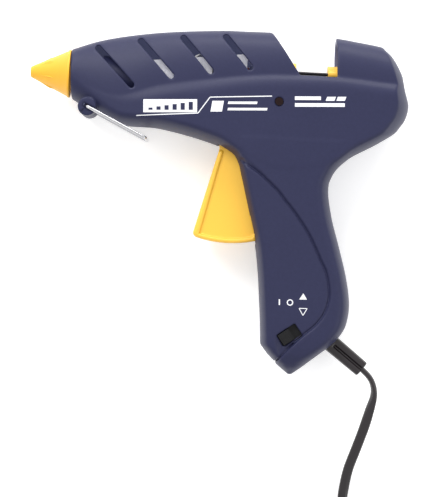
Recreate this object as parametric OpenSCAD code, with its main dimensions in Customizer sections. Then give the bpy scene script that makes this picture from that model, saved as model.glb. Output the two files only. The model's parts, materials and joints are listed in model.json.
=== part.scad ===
// Corded hot-melt glue gun, lying on its right side.
// +X runs from the nozzle to the stick inlet, +Y from the grip's butt to the top of the housing,
// +Z from the right side to the left side. The origin is under the middle of the gun, on the
// surface that it lies on. Millimetres.

/* [Glue path] */
// Diameter of the glue stick that the gun takes
stick_d = 12; // [11.2:0.1:12.4]
// Radial clearance between the stick and the bores that guide it
stick_clearance = 0.45; // [0.3:0.05:0.5]
// Outer radius of the melt chamber's barrel
chamber_r = 9; // [8.6:0.1:9.2]
// Radius of the outlet drilled through the nozzle
outlet_r = 1.1; // [0.8:0.1:1.4]

/* [Housing] */
// Width of the gun across its two flat sides
body_w = 38; // [37.6:0.1:38.6]
// Wall thickness of the two housing halves
wall = 2.2; // [1.8:0.1:2.4]
// Width of a vent slot
slot_w = 3; // [2:0.1:3.6]
// Number of vent slots in the left half
slot_count = 4; // [1:1:4]

/* [Trigger] */
// Full swing of the trigger, degrees
trigger_swing = 19.8; // [12:0.1:19.8]
// Half width of the trigger's rim
rim_half = 8.5; // [7.5:0.1:8.6]
// Half width of the trigger's sunk side panel
panel_half = 6.8; // [5:0.1:7]

/* [Stand] */
// Diameter of the stand's wire
wire_d = 1.7; // [1.4:0.1:1.8]
// Length of the stand, from its pivot to its cross bar
stand_len = 35; // [30:0.1:38]
// How far the stand hangs below the glue path, degrees
stand_angle = 25.5; // [24:0.5:32]

/* [Lead] */
// Width of the flat two-core lead
lead_w = 5.4; // [5:0.1:5.6]
// Thickness of the flat two-core lead
lead_t = 3.1; // [2.8:0.1:3.3]

/* [Hidden] */
$fn = 48;

// --- Shared places ---------------------------------------------------------------------------
mid_z = body_w / 2;
axis_y = 62.5;
bore_r = stick_d / 2 + stick_clearance;
tip_x = -100.2;
// Where the hollow of the barrel housing ends, behind the stick inlet
cavity_end_x = 97.6;
nose_x = -79;
trigger_pivot = [8.2, 38];
trigger_pin_r = 2;
fork_height = axis_y - trigger_pivot.y;
// Running clearance of a pin in its hole
pin_play = 0.06;
// Air between two parts that move past each other
gap = 0.3;
stand_pivot = [-68.8, 44.9];
stand_boss_r = 4.8;
stand_boss_half = 15;
stand_half = 16.2;
lens_at = [31.5, 52.3];
lens_r = 2.1;
// The stick gap between the front housing and the rear ring
gap_floor = 66.8;
gap_front_x = 41.9;
gap_back_x = 61.3;
// The feed carriage at rest, and how far it travels
carriage_x = [56.6, 69.6];
feed_travel = 2 * fork_height * tan(trigger_swing / 2);
peg_x = trigger_pivot.x + feed_travel / 2;
peg_r = 1.9;
rod_y = axis_y + 5.9;
rod_z = 9;
rod_r = 0.8;
rail_z = [11.6, 13.3];
fork_z = [9.5, 11.3];
// The switch window and the slider's path, degrees above +X
switch_at = [43.1, -68.9];
switch_turn = 37;
window = [11.4, 6.8];
slider_size = [6.4, 6.2, 4.2];
// The strain relief leaves the butt here, and this is its direction, degrees
relief_at = [66.3, -73];
relief_turn = -37.3;
relief_len = 21.1;
relief_w = [9.2, 8.7];
relief_t = 7.4;
// Housing screws: place and post length in each half
screws = [[-50, 46, 14], [-22, 45, 17], [88, 43.5, 17], [52, 8, 18], [66, -50, 18], [36, -50, 18]];
screw_r = 1.4;
screw_head_r = 2.8;
screw_head_z = 2.6;
// How far a screw reaches into the left half
screw_reach = 9;
// Boss in each half that carries the trigger's pin
pivot_boss_r = 4;
pivot_boss_z = 12.5;
// Radii of the cap's rim, of its retaining flange and of its neck
cap_r = [12.7, 10.4, 9.6];
// Radii of the chamber's neck and thread, and of the pieces that hold the chamber and the guides
neck_r = 7;
thread_r = 4.1;
collar_r = 10.5;
support_r = 13.2;
guide_r = 8.2;
inlet_r = 7;
carriage_r = 11;
// The heater on the chamber's wedge
heater_x = [-19, 7];
heater_y = 70.6;
heater_t = 2.6;
heater_half = 4.8;
wedge_half = 7;
// The feed rails, the clamping jaw and the return spring
rail_y = [59.5, 65.5];
jaw_pivot = [62, 48.5];
jaw_pin_r = 1.2;
jaw_half = 2;
spring_y = 53.6;
// The switch slider's travel and the height of its underside
switch_travel = 4;
slider_z = 14.9;
// The clamp bar over the lead, measured from the strain relief's root
clamp_s = -11;
clamp_screw_y = [-6, 6];
clamp_screw_r = 1.3;
// Wires inside the housing: distance along the wire, x, y, height from the mid plane
heater_route = [
    [0, 54.6, -64, -1.3], [8, 53, -57, -5], [23, 57, -43, -9], [47, 57, -19, -12], [72, 46.5, 4, -14.5],
    [96, 36, 26, -14.8], [117, 22, 45, -14.6], [138, 2, 46.5, -14.6], [149, -8, 47.5, -14],
    [163, -14, 60, -12.5], [178, -20, 75.4, -8.6], [182, -19.5, 76.4, -4.6]
];
switch_route = [[0, 54.6, -64, 1.3], [5, 53, -61, 4], [10, 51.5, -62.3, 8], [14, 49.6, -63.9, 10]];

// The mains lead: distance along it, x, y, z, and how far it is turned from standing on edge
lead_route = [
    [-34, 55.6, -64.8, 19, 0], [-10, 75.1, -79.7, 19, 0], [0, 83.1, -85.8, 19, 0],
    [8, 88.5, -91.5, 18.6, 0], [15, 90.3, -98.5, 17.6, 20], [25, 88.4, -108.5, 15.4, 60],
    [35, 86, -118.4, 12.6, 90], [48, 82.7, -129.6, 9.2, 90], [60, 79.4, -140.9, 5.8, 90],
    [72, 77.6, -153.1, 3.2, 80], [80, 77.3, -160, 2.6, 50], [90, 77.5, -170, 3.1, 15],
    [112, 77.15, -192, 3.3, 0]
];
coil_at = [41.2, -200];
tail_route = [[0, 41.2, -236, 8.8], [10, 31.2, -236, 8.2], [20, 21.2, -236, 7.2]];
plug_at = [0, -236, 6.85];
pin_pitch = 18.6;

// Colours
body_colour = [0.26, 0.27, 0.37];
cap_colour = [0.99, 0.83, 0.32];
trigger_colour = [0.99, 0.87, 0.40];
dark_colour = [0.16, 0.16, 0.19];
black_colour = [0.09, 0.09, 0.10];
rubber_colour = [0.20, 0.19, 0.20];
steel_colour = [0.72, 0.72, 0.74];
brass_colour = [0.78, 0.62, 0.32];
ceramic_colour = [0.88, 0.86, 0.80];
glass_colour = [0.95, 0.80, 0.60];
lens_colour = [0.85, 0.12, 0.08];

// --- Housing sections ------------------------------------------------------------------------
// Stations of the barrel housing along X:
// x, top, shoulder crease, underside, half width at the crease, half width below it, shoulder
// drop, and the exponent of the arch over the crease (2 is round)
body_table = [
    [-79, 75.4, 62.4, 49.7, 12.8, 12.8, 0.2, 2.0],
    [-66, 80.1, 54.5, 43.0, 13.9, 14.0, 1.0, 2.2],
    [-52, 83.5, 51.5, 37.0, 15.2, 15.6, 4.0, 2.4],
    [-30, 86.9, 57.5, 35.7, 16.0, 17.8, 7.0, 2.5],
    [0, 89.4, 62.8, 29.3, 16.2, 19.3, 8.0, 2.5],
    [30, 89.7, 66.3, 18.0, 16.2, 19.4, 8.0, 2.5],
    [60, 88.4, 66.9, 20.5, 16.2, 19.4, 8.0, 2.5],
    [85, 84.9, 65.2, 34.0, 16.0, 19.3, 8.0, 2.4],
    [91, 79.4, 64.4, 38.2, 15.2, 18.0, 7.0, 2.5],
    [96, 71.0, 60.0, 42.6, 14.0, 16.0, 5.0, 2.8],
    [99, 61.7, 56.5, 47.3, 11.6, 12.6, 2.0, 2.8],
    [100.3, 55.6, 54.4, 52.4, 8.6, 8.8, 0.4, 2.8]
];
// Stations of the grip from its top down: -y, front edge, back edge, half width
grip_table = [
    [-33, 8.5, 84, 19.4],
    [-26, 11.0, 70.7, 19.4],
    [-19, 13.0, 63.2, 19.4],
    [-10, 15.2, 60.3, 19.4],
    [5, 18.9, 62.3, 19.4],
    [22, 22.9, 67.2, 19.4],
    [38, 25.4, 71.7, 19.4],
    [52, 26.8, 74.0, 19.4],
    [63, 27.8, 72.9, 19.4],
    [70, 28.3, 69.2, 19.2],
    [76, 29.2, 63.3, 18.4],
    [81, 33.3, 57.3, 17.0],
    [86, 38.5, 51.2, 13.5],
    [90, 43.6, 46.0, 6.0]
];
// Rounding of the belly and of the grip's front and back edges
belly_round = 9;
// How much rounder the belly gets towards the nose
nose_round = 3.6;
front_round = 10;
back_round = 12;
// Points on the arch, the shoulder and each rounded edge
arch_steps = 7;
edge_steps = 5;

// Smooth curve through one column of a table, at x
function cell(t, x, i = 0) = i >= len(t) - 2 || x < t[i + 1][0] ? i : cell(t, x, i + 1);
function slope(t, i, c) =
    let (a = max(i - 1, 0), b = min(i + 1, len(t) - 1))
    (t[b][c] - t[a][c]) / (t[b][0] - t[a][0]);
function at(t, x, c) =
    let (i = cell(t, x), h = t[i + 1][0] - t[i][0], u = (x - t[i][0]) / h)
    t[i][c] * (1 + 2 * u) * pow(1 - u, 2) + t[i + 1][c] * u * u * (3 - 2 * u)
    + h * u * (1 - u) * (slope(t, i, c) * (1 - u) - slope(t, i + 1, c) * u);
// The stations of a table, and one more halfway between each two
function stations(t) = [
    for (i = [0 : len(t) - 1], half = [0, 0.5])
        if (i < len(t) - 1 || half == 0)
            t[i][0] + half * (t[min(i + 1, len(t) - 1)][0] - t[i][0])
];

// Half of the barrel housing's section at x, inset by t, as [y, z] from the mid plane
function body_half(x, t) =
    let (
        top = at(body_table, x, 1) - t,
        crease = at(body_table, x, 2),
        low = at(body_table, x, 3) + t,
        arch = at(body_table, x, 4) - t,
        side = at(body_table, x, 5) - t,
        drop = at(body_table, x, 6),
        power = 2 / at(body_table, x, 7),
        belly = min(belly_round + nose_round * max(0, min(1, (-52 - x) / 27)), crease - drop - low)
    )
    concat(
        [for (i = [0 : arch_steps])
            let (a = 90 * i / arch_steps)
            [crease + (top - crease) * pow(cos(a), power), arch * pow(sin(a), power)]],
        [for (i = [1 : edge_steps])
            let (a = 90 * i / edge_steps)
            [crease - drop * (1 - cos(a)), arch + (side - arch) * sin(a)]],
        [for (i = [0 : edge_steps])
            let (a = 90 * i / edge_steps)
            [low + belly * (1 - sin(a)), side * cos(a)]]
    );

// Half of the grip's section at height y, inset by t, as [x, z] from the mid plane
function grip_half(y, t) =
    let (
        front = at(grip_table, -y, 1) + t,
        back = at(grip_table, -y, 2) - t,
        side = at(grip_table, -y, 3) - t,
        front_r = min(front_round, 0.45 * (back - front)),
        back_r = min(back_round, 0.5 * (back - front))
    )
    concat(
        [for (i = [0 : edge_steps])
            let (a = 90 * i / edge_steps)
            [front + front_r * (1 - cos(a)), side * sin(a)]],
        [for (i = [0 : edge_steps])
            let (a = 90 * i / edge_steps)
            [back - back_r * (1 - sin(a)), side * cos(a)]]
    );

// A closed solid through rings that have equal numbers of points
module loft(rings) {
    n = len(rings[0]);
    last = len(rings) - 1;
    polyhedron(
        points = [for (ring = rings, p = ring) p],
        faces = concat(
            [[for (i = [n - 1 : -1 : 0]) i]],
            [for (k = [0 : last - 1], i = [0 : n - 1], side = [0, 1])
                let (a = k * n + i, b = k * n + (i + 1) % n)
                side == 0 ? [a, b, b + n] : [a, b + n, a + n]],
            [[for (i = [0 : n - 1]) last * n + i]]
        )
    );
}

// The left half of the barrel housing from x0 to x1, inset by t, with its section at x1 shrunk to close
module body_solid(t, x0, x1, close = 1) {
    inner = [for (x = stations(body_table)) if (x > x0 && x < x1) x];
    xs = concat([x1], [for (i = [len(inner) - 1 : -1 : 0]) inner[i]], [x0]);
    loft([for (x = xs)
        let (
            k = x == x1 ? close : 1,
            half = [for (p = body_half(x, t)) [axis_y + k * (p.x - axis_y), k * p.y]]
        )
        concat([for (p = half) [x, p.x, p.y]], [[x, half[len(half) - 1].x, -1], [x, half[0].x, -1]])]);
}

// The left half of the grip from its top down to y1, inset by t
module grip_solid(t, y1) {
    ys = concat([for (y = stations(grip_table)) if (-y > y1) -y], [y1]);
    loft([for (y = ys) let (half = grip_half(y, t))
        concat([for (p = half) [p.x, y, p.y]], [[half[len(half) - 1].x, y, -1], [half[0].x, y, -1]])]);
}

// Moves a piece drawn about the mid plane to its height above the surface
module at_mid() {
    translate([0, 0, mid_z]) children();
}

// Draws a piece on the left and mirrors it to the right
module both_sides() {
    children();
    mirror([0, 0, 1]) children();
}

// A solid of revolution about the glue path, from a profile of [x, r]
module on_axis(profile) {
    translate([0, axis_y, 0]) rotate([90, 0, 90]) rotate_extrude() polygon([for (p = profile) [p.y, p.x]]);
}

// A cylinder along the glue path
module tube_x(x0, x1, r) {
    translate([x0, axis_y, 0]) rotate([0, 90, 0]) cylinder(h = x1 - x0, r = r);
}

// A cylinder along Z between two heights from the mid plane
module post(at, r, z0, z1) {
    translate([at.x, at.y, z0]) cylinder(h = z1 - z0, r = r);
}

// A flat slot with round ends between two points
module stadium(a, b, w) {
    d = b - a;
    translate([a.x, a.y, 0]) rotate(atan2(d.y, d.x)) {
        translate([0, -w / 2]) square([norm(d), w]);
        circle(d = w);
        translate([norm(d), 0]) circle(d = w);
    }
}

// --- Housing ---------------------------------------------------------------------------------
// The vents start and end this far from the top outline and from the crease
vent_margin = [4.3, 4.6];
vent_first = [-64.8, -46.1];
vent_pitch = [22.3, 20.5];

module vents() {
    for (i = [0 : slot_count - 1]) {
        x0 = vent_first[0] + i * vent_pitch[0];
        x1 = vent_first[1] + i * vent_pitch[1];
        y0 = at(body_table, x0, 1) - vent_margin[0];
        y1 = at(body_table, x1, 2) + vent_margin[1];
        linear_extrude(body_w) stadium([x0, y0], [x1, y1], slot_w);
    }
}

// The open space over the stick between the front housing and the rear ring
module stick_gap() {
    translate([0, 0, -1]) linear_extrude(body_w)
        polygon([[gap_front_x, gap_floor], [gap_back_x, gap_floor], [59.8, 95], [22.6, 95]]);
}

// The slot that the trigger swings in, from the belly down the front of the grip
module trigger_slot() {
    translate([0, 0, -1]) linear_extrude(rim_half + 0.5 + 1)
        polygon([[-3, 20], [9, -22.3], [46, -22.3], [46, 8], [30, 33], [-3, 33]]);
}

// The switch window with its ramp towards the butt
module switch_window() {
    translate([switch_at.x, switch_at.y, 0]) rotate(switch_turn)
        linear_extrude(body_w) square(window, center = true);
    translate([0, 0, mid_z - 1]) linear_extrude(2)
        polygon([[36.2, -70.1], [41.8, -73.7], [38.3, -79.2], [35.7, -72]]);
}

module gland_hole() {
    translate([relief_at.x, relief_at.y, 0]) rotate(relief_turn)
        translate([-8, -relief_w[0] / 2 - 0.1, -1]) cube([16, relief_w[0] + 0.2, relief_t / 2 + 1.1]);
}

// Inner wall across the barrel housing, from y0 up
module rib(x, y0) {
    intersection() {
        body_solid(wall / 2, nose_x + 1, 97);
        translate([x, y0, 0]) cube([wall, 60, mid_z - 1.2]);
    }
}

// One half of the housing, on the side where z is positive
module housing_half() {
    difference() {
        union() {
            difference() {
                intersection() {
                    union() {
                        body_solid(0, nose_x, 100.3);
                        grip_solid(0, -90);
                    }
                    translate([-120, -120, 0]) cube([240, 240, mid_z]);
                }
                body_solid(wall, nose_x + wall, cavity_end_x, 0.4);
                grip_solid(wall, -86.5);
            }
            for (s = screws) post(s, 3.2, 0, s.z);
            post(stand_pivot, stand_boss_r, 0, stand_boss_half);
            post(trigger_pivot, pivot_boss_r, pivot_boss_z, mid_z - 1);
            rib(-60, 40);
            rib(-4, 49);
            rib(33.2, 40);
        }
        stick_gap();
        trigger_slot();
        gland_hole();
        // The front face leans back a little towards the belly
        translate([nose_x - 3, axis_y - 20, -1]) rotate(-2.4) cube([2.4, 45, body_w]);
        tube_x(nose_x - 1, nose_x + wall + 1, cap_r[2] + 0.3);
        tube_x(-61, -57, collar_r + 0.2);
        tube_x(-5, -1, support_r + 0.1);
        translate([-5, axis_y, -1]) cube([4, 14, wedge_half + 1.3]);
        tube_x(33, 36, guide_r + 0.2);
        tube_x(93, 102, inlet_r + 0.1);
        // The feed rails pass through the rear rib here
        translate([32, rail_y[0] - 0.8, rail_z[0] - 0.6]) cube([5, rail_y[1] - rail_y[0] + 1.6, 3]);
        post(trigger_pivot, trigger_pin_r + pin_play, 9, mid_z - 3);
        post(stand_pivot, wire_d / 2 + pin_play, stand_boss_half - 7, stand_boss_half + 1);
    }
}

module housing_left() {
    color(body_colour) at_mid() difference() {
        housing_half();
        vents();
        switch_window();
        post(lens_at, lens_r + 0.05, mid_z - 4, mid_z + 1);
        for (s = screws) post(s, screw_r + 0.05, -1, screw_reach + 1);
    }
}

module housing_right() {
    color(body_colour) at_mid() mirror([0, 0, 1]) {
        difference() {
            housing_half();
            for (s = screws) {
                post(s, screw_r + 0.3, -1, mid_z + 1);
                post(s, screw_head_r + 0.3, s.z - 4, mid_z + 1);
            }
        }
        for (y = clamp_screw_y) difference() {
            at_relief(clamp_s, y) translate([0, 0, -lead_w / 2])
                cylinder(h = mid_z - 1 + lead_w / 2, r = 2.4);
            at_relief(clamp_s, y) translate([0, 0, -lead_w / 2 - 1])
                cylinder(h = 10, r = clamp_screw_r + 0.05);
        }
    }
}

// --- Nozzle and melt chamber -----------------------------------------------------------------
module nozzle_cap() {
    color(cap_colour) at_mid() on_axis([
        [tip_x, 2.3], [tip_x, 2.8], [tip_x + 0.6, 3.1], [-80.4, 12.1], [-80.4, cap_r[0]], [-79.1, cap_r[0]],
        [-79.1, cap_r[2]], [-74.6, cap_r[2]], [-74.6, cap_r[1]], [-72.6, cap_r[1]], [-72.6, cap_r[2]],
        [-70, cap_r[2]], [-70, 7.2], [-78.8, 7.2], [-99, 2.3]
    ]);
}

module nozzle() {
    color(brass_colour) at_mid() on_axis([
        [-99.8, outlet_r], [-99.8, 2.0], [-78, 5.6], [-64, 5.6], [-64, 6.5], [-57, 6.5], [-57, thread_r],
        [-46, thread_r], [-46, 2], [-70, 2], [-98, outlet_r]
    ]);
}

// The melt chamber: a bored barrel with a wedge on top that holds the heater
module melt_chamber() {
    color(steel_colour) at_mid() difference() {
        union() {
            on_axis([[14, 0], [14, chamber_r], [-44, chamber_r], [-44, neck_r], [-56, neck_r], [-56, 0]]);
            wedge(wedge_half);
        }
        on_axis([[15, 0], [15, bore_r - 0.1], [-38, bore_r - 0.1], [-44.5, 2], [-46, 2],
            [-46, thread_r + 0.05], [-57, thread_r + 0.05], [-57, 0]]);
        translate([heater_x[0] - 1, heater_y, -heater_half - 0.2])
            cube([heater_x[1] - heater_x[0] + 2, 10, 2 * heater_half + 0.4]);
    }
}

// The wedge's side shape, to a half width
module wedge(half) {
    translate([0, 0, -half]) linear_extrude(2 * half)
        polygon([[-42, 67], [-42, 70], [-38, 71.3], [12, 77], [14, 77], [14, 67]]);
}

module heater() {
    color(ceramic_colour) at_mid() translate([heater_x[0], heater_y + 0.05, -heater_half])
        cube([heater_x[1] - heater_x[0], heater_t, 2 * heater_half]);
}

// Spring strip that presses the heater down
module heater_clip() {
    y = heater_y + heater_t + 0.1;
    color(steel_colour) at_mid() translate([0, 0, -heater_half]) linear_extrude(2 * heater_half)
        polygon([[-17, y], [-15, y], [-11.5, y + 2.2], [-10.5, y + 2.2], [-7, y], [5, y],
            [5, y + 0.7], [-6.7, y + 0.7], [-10.2, y + 2.9], [-11.8, y + 2.9], [-15.3, y + 0.7],
            [-17, y + 0.7]]);
}

module front_support() {
    color(dark_colour) at_mid()
        on_axis([[-61.8, neck_r + 0.1], [-61.8, collar_r], [-44.1, collar_r], [-44.1, neck_r + 0.1]]);
}

// Open collar that centres the rear of the chamber
module rear_support() {
    color(dark_colour) at_mid() difference() {
        on_axis([[-4.2, chamber_r + 0.05], [-4.2, support_r], [-1.5, support_r], [-1.5, chamber_r + 0.05]]);
        translate([-5, axis_y, -wedge_half - 0.1]) cube([5, 20, 2 * wedge_half + 0.2]);
    }
}

module inlet_sleeve() {
    color(rubber_colour) at_mid() on_axis([[14.05, bore_r], [14.05, 8.2], [25.9, 8.2], [25.9, bore_r]]);
}

module sleeve_clamp() {
    color(steel_colour) at_mid() on_axis([[15, 8.25], [15, 9], [18, 9], [18, 8.25]]);
}

// --- Stick feed ------------------------------------------------------------------------------
module rod_bores(x0, x1, r) {
    both_sides() translate([x0, rod_y, rod_z]) rotate([0, 90, 0]) cylinder(h = x1 - x0, r = r);
}

module front_guide() {
    color(cap_colour) at_mid() difference() {
        union() {
            on_axis([[26, bore_r], [26, guide_r], [36.2, guide_r], [36.2, 11.7], [39.9, 11.7],
                [39.9, bore_r]]);
            rod_bores(36.2, 39.9, 2.2);
        }
        tube_x(25, 41, bore_r);
        rod_bores(36, 41, rod_r + 0.05);
        both_sides() translate([36, rail_y[0] - 0.5, rail_z[0] - 0.4])
            cube([5, rail_y[1] - rail_y[0] + 1, 2]);
    }
}

module guide_rods() {
    color(steel_colour) at_mid() rod_bores(37, 86.4, rod_r);
}

module rear_guide() {
    color(dark_colour) at_mid() difference() {
        on_axis([[84, bore_r], [84, 12.3], [87, 12.3], [87, 9.5], [92, 9.5], [92, inlet_r],
            [96.5, inlet_r], [96.5, bore_r]]);
        rod_bores(83, 88, rod_r + 0.05);
    }
}

// The carriage that grips the stick, with the rails that reach forward to the trigger's fork
module feed_carriage() {
    color(cap_colour) at_mid() difference() {
        union() {
            tube_x(carriage_x[0], carriage_x[1], carriage_r);
            rod_bores(carriage_x[0], carriage_x[1], 2.2);
            translate([carriage_x[0], jaw_pivot.y - 4, -6])
                cube([carriage_x[1] - carriage_x[0], axis_y - jaw_pivot.y, 12]);
            both_sides() {
                translate([carriage_x[0] + 1.4, rail_y[0], 8])
                    cube([carriage_x[1] - carriage_x[0] - 1.4, rail_y[1] - rail_y[0], rail_z[1] - 8]);
                translate([peg_x - 3.2, rail_y[0], rail_z[0]])
                    cube([carriage_x[0] - peg_x + 6, rail_y[1] - rail_y[0], rail_z[1] - rail_z[0]]);
                post([peg_x, axis_y], peg_r, 9.4, rail_z[0] + 0.5);
            }
        }
        tube_x(carriage_x[0] - 1, carriage_x[1] + 1, bore_r + 0.15);
        rod_bores(carriage_x[0] - 1, carriage_x[1] + 1, rod_r + pin_play);
        translate([carriage_x[0] - 1, jaw_pivot.y - 6, -jaw_half - gap])
            cube([12.6, 14, 2 * (jaw_half + gap)]);
        post(jaw_pivot, jaw_pin_r + 0.05, -7, 7);
    }
}

// Toothed lever that bites into the stick when the carriage moves forward
module clamp_jaw() {
    color(steel_colour) at_mid() difference() {
        union() {
            post(jaw_pivot, 2.8, -jaw_half, jaw_half);
            translate([0, 0, -jaw_half]) linear_extrude(2 * jaw_half)
                translate(jaw_pivot)
                    polygon([[-2.6, 0], [-4.6, 6.7], [-3.6, 6.1], [-2.6, 6.7], [-1.6, 6.1], [-0.6, 6.7],
                        [2.6, 0]]);
        }
        post(jaw_pivot, jaw_pin_r + pin_play, -7, 7);
    }
}

module jaw_pin() {
    color(steel_colour) at_mid() post(jaw_pivot, jaw_pin_r, -5.8, 5.8);
}

// Pull spring from the carriage back to the rear guide
module return_spring() {
    turns = 9;
    x0 = carriage_x[1] + 0.3;
    length = 83.6 - x0;
    color(steel_colour) at_mid() sweep([
        for (i = [0 : 12 * turns])
            [x0 + length * i / (12 * turns), spring_y + 2 * cos(30 * i), 2 * sin(30 * i)]
    ], 0.35, 0.35, 6);
}

// --- Trigger ---------------------------------------------------------------------------------
// Points on the trigger's bottom arc at a radius about the pivot, between two angles
function bottom_arc(r, a0, a1) = [
    for (i = [0 : 8]) trigger_pivot + r * [cos(a0 + (a1 - a0) * i / 8), sin(a0 + (a1 - a0) * i / 8)]
];

module trigger_blade() {
    front = [[-9.9, -17.8], [-9.7, -19.2]];
    rear = [[23.2, -18.2], [21.3, -16.6], [11.8, 22]];
    linear_extrude(2 * panel_half, center = true)
        polygon(concat([[1.6, 38], [1.5, 25.7]], front, bottom_arc(60.7, -105.9, -75.6), rear, [[13, 38]]));
    difference() {
        linear_extrude(2 * rim_half, center = true)
            polygon(concat([[1.5, 25.7]], front, bottom_arc(60.7, -105.9, -75.6), rear, [[10.9, 25.7]]));
        linear_extrude(2 * rim_half + 2, center = true)
            polygon(concat([[4.2, 27]], bottom_arc(58.2, -104.5, -77.6),
                [[23.5, -16.4], [30, 0], [30, 27]]));
    }
}

module trigger() {
    color(trigger_colour) at_mid() difference() {
        union() {
            trigger_blade();
            post(trigger_pivot, 5, 0.3 - fork_z[1], fork_z[1] - 0.3);
            both_sides() translate([trigger_pivot.x, trigger_pivot.y, fork_z[0]]) rotate(-trigger_swing / 2)
                difference() {
                    translate([-4.5, -3, 0]) cube([9, fork_height + 7, fork_z[1] - fork_z[0]]);
                    translate([-peg_r - 0.2, fork_height - 2.4, -1]) cube([2 * peg_r + 0.4, 20, 4]);
                }
        }
        // Hollow from behind, so that the walls stay thin
        linear_extrude(2 * panel_half - 4, center = true)
            polygon([[3.8, 20], [-5.6, -14.5], [8.2, -18], [30, -16], [30, 20]]);
        post(trigger_pivot, trigger_pin_r + pin_play, -mid_z, mid_z);
    }
}

module trigger_pin() {
    color(steel_colour) at_mid() post(trigger_pivot, trigger_pin_r, -mid_z + 3.5, mid_z - 3.5);
}

// --- Indicator and switch --------------------------------------------------------------------
module indicator_lens() {
    color(lens_colour) at_mid() post(lens_at, lens_r, mid_z - 3.6, mid_z + 0.2);
}

module indicator_lamp() {
    color(glass_colour) at_mid() post(lens_at, 1.5, 8, mid_z - 4);
}

// Places a piece at the switch window, turned with it
module at_switch(along) {
    translate([switch_at.x, switch_at.y, 0]) rotate(switch_turn) translate([along, 0, 0]) children();
}

module switch_body() {
    color(dark_colour) at_mid() at_switch(0) translate([-6.5, -4.5, 6]) cube([13, 9, 8.5]);
}

module switch_slider() {
    color(black_colour) at_mid() at_switch(-switch_travel / 2) difference() {
        translate([-slider_size.x / 2, -slider_size.y / 2, slider_z])
            cube([slider_size.x, slider_size.y, slider_size.z]);
        for (i = [-2 : 2])
            translate([i * 1.2 - 0.25, -slider_size.y, slider_z + slider_size.z - 0.6])
                cube([0.5, 2 * slider_size.y, 2]);
    }
}

// --- Stand and screws ------------------------------------------------------------------------
// A round bar between two points
module bar(p, q, r) {
    d = q - p;
    translate(p) rotate([0, acos(d.z / norm(d)), atan2(d.y, d.x)]) cylinder(h = norm(d), r = r);
}

module wire_stand() {
    foot = stand_pivot + stand_len * [cos(-stand_angle), sin(-stand_angle)];
    r = wire_d / 2;
    color(steel_colour) at_mid() {
        bar([foot.x, foot.y, -stand_half - r], [foot.x, foot.y, stand_half + r], r);
        both_sides() {
            bar([stand_pivot.x, stand_pivot.y, 8.5], [stand_pivot.x, stand_pivot.y, stand_half + r], r);
            // A little thinner, so that its ends lie inside the two bars that it joins
            bar([foot.x, foot.y, stand_half], [stand_pivot.x, stand_pivot.y, stand_half], 0.94 * r);
        }
    }
}

module housing_screws() {
    color(steel_colour) at_mid() for (s = screws) difference() {
        union() {
            post(s, screw_r, 4 - s.z, screw_reach);
            post(s, screw_head_r, 4 - s.z - screw_head_z, 4 - s.z);
        }
        for (turn = [0, 90])
            translate([s.x, s.y, 4 - s.z - screw_head_z]) rotate(turn) cube([3.2, 0.7, 2], center = true);
    }
}

// --- Lead entry ------------------------------------------------------------------------------
// Places a piece at a distance s along the strain relief's direction and w across it
module at_relief(s, w = 0) {
    translate([relief_at.x, relief_at.y, 0]) rotate(relief_turn) translate([s, w, 0]) children();
}

module strain_relief() {
    w = relief_w / 2;
    color(rubber_colour) at_mid() difference() {
        at_relief(0) {
            difference() {
                translate([0, 0, -relief_t / 2]) linear_extrude(relief_t)
                    polygon([[-6, -w[0]], [0, -w[0]], [relief_len, -w[1]], [relief_len, w[1]], [0, w[0]],
                        [-6, w[0]]]);
                for (side = [-1, 1])
                    translate([3, -0.5, side * relief_t / 2 - 0.4]) cube([relief_len, 1, 0.8]);
            }
            translate([-6, -5.6, -4.6]) cube([2, 11.2, 9.2]);
        }
        at_relief(-7) translate([0, -lead_t / 2 - 0.05, -lead_w / 2 - 0.05])
            cube([relief_len + 8, lead_t + 0.1, lead_w + 0.1]);
    }
}

module cord_clamp() {
    color(dark_colour) at_mid() difference() {
        at_relief(clamp_s) translate([-2.5, -8.4, lead_w / 2 + 0.1]) cube([5, 16.8, 2.6]);
        for (y = clamp_screw_y) at_relief(clamp_s, y) cylinder(h = 10, r = clamp_screw_r + 0.1);
    }
}

module clamp_screws() {
    color(steel_colour) at_mid() for (y = clamp_screw_y) at_relief(clamp_s, y) {
        translate([0, 0, -5]) cylinder(h = 5 + lead_w / 2 + 2.8, r = clamp_screw_r);
        translate([0, 0, lead_w / 2 + 2.8]) cylinder(h = 1.6, r = 2.2);
    }
}

// Two wires from the lead to the switch and the heater, kept clear of the trigger and the feed
module inner_leads() {
    color(rubber_colour) at_mid() {
        sweep([for (s = [0 : 4 : 182]) route_point(heater_route, s)], 0.9, 0.9, 8);
        sweep([for (s = [0 : 2 : 14]) route_point(switch_route, s)], 0.9, 0.9, 8);
    }
}

// --- Mains lead ------------------------------------------------------------------------------
function route_point(t, s) = [at(t, s, 1), at(t, s, 2), at(t, s, 3)];

// Rings along a path: half widths a and b, with n points, b turned about the path by a twist
function path_way(path, i) =
    let (d = path[min(i + 1, len(path) - 1)] - path[max(i - 1, 0)]) d / norm(d);
function ring(p, way, a, b, n, twist) =
    let (
        flat = cross([0, 0, 1], way),
        side = flat / norm(flat),
        up = cross(way, side),
        u = up * cos(twist) + side * sin(twist),
        v = cross(u, way)
    )
    [for (i = [0 : n - 1]) p + u * a * cos(360 * i / n) + v * b * sin(360 * i / n)];

module sweep(path, a, b, n, twists = []) {
    loft([for (i = [0 : len(path) - 1])
        ring(path[i], path_way(path, i), a, b, n, len(twists) > 0 ? twists[i] : 0)]);
}

module cord_tube() {
    places = [for (s = [lead_route[0][0] : 4 : 111]) s];
    color(black_colour) sweep([for (s = places) route_point(lead_route, s)], lead_w / 2, lead_t / 2, 12,
        [for (s = places) at(lead_route, s, 4)]);
}

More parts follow.
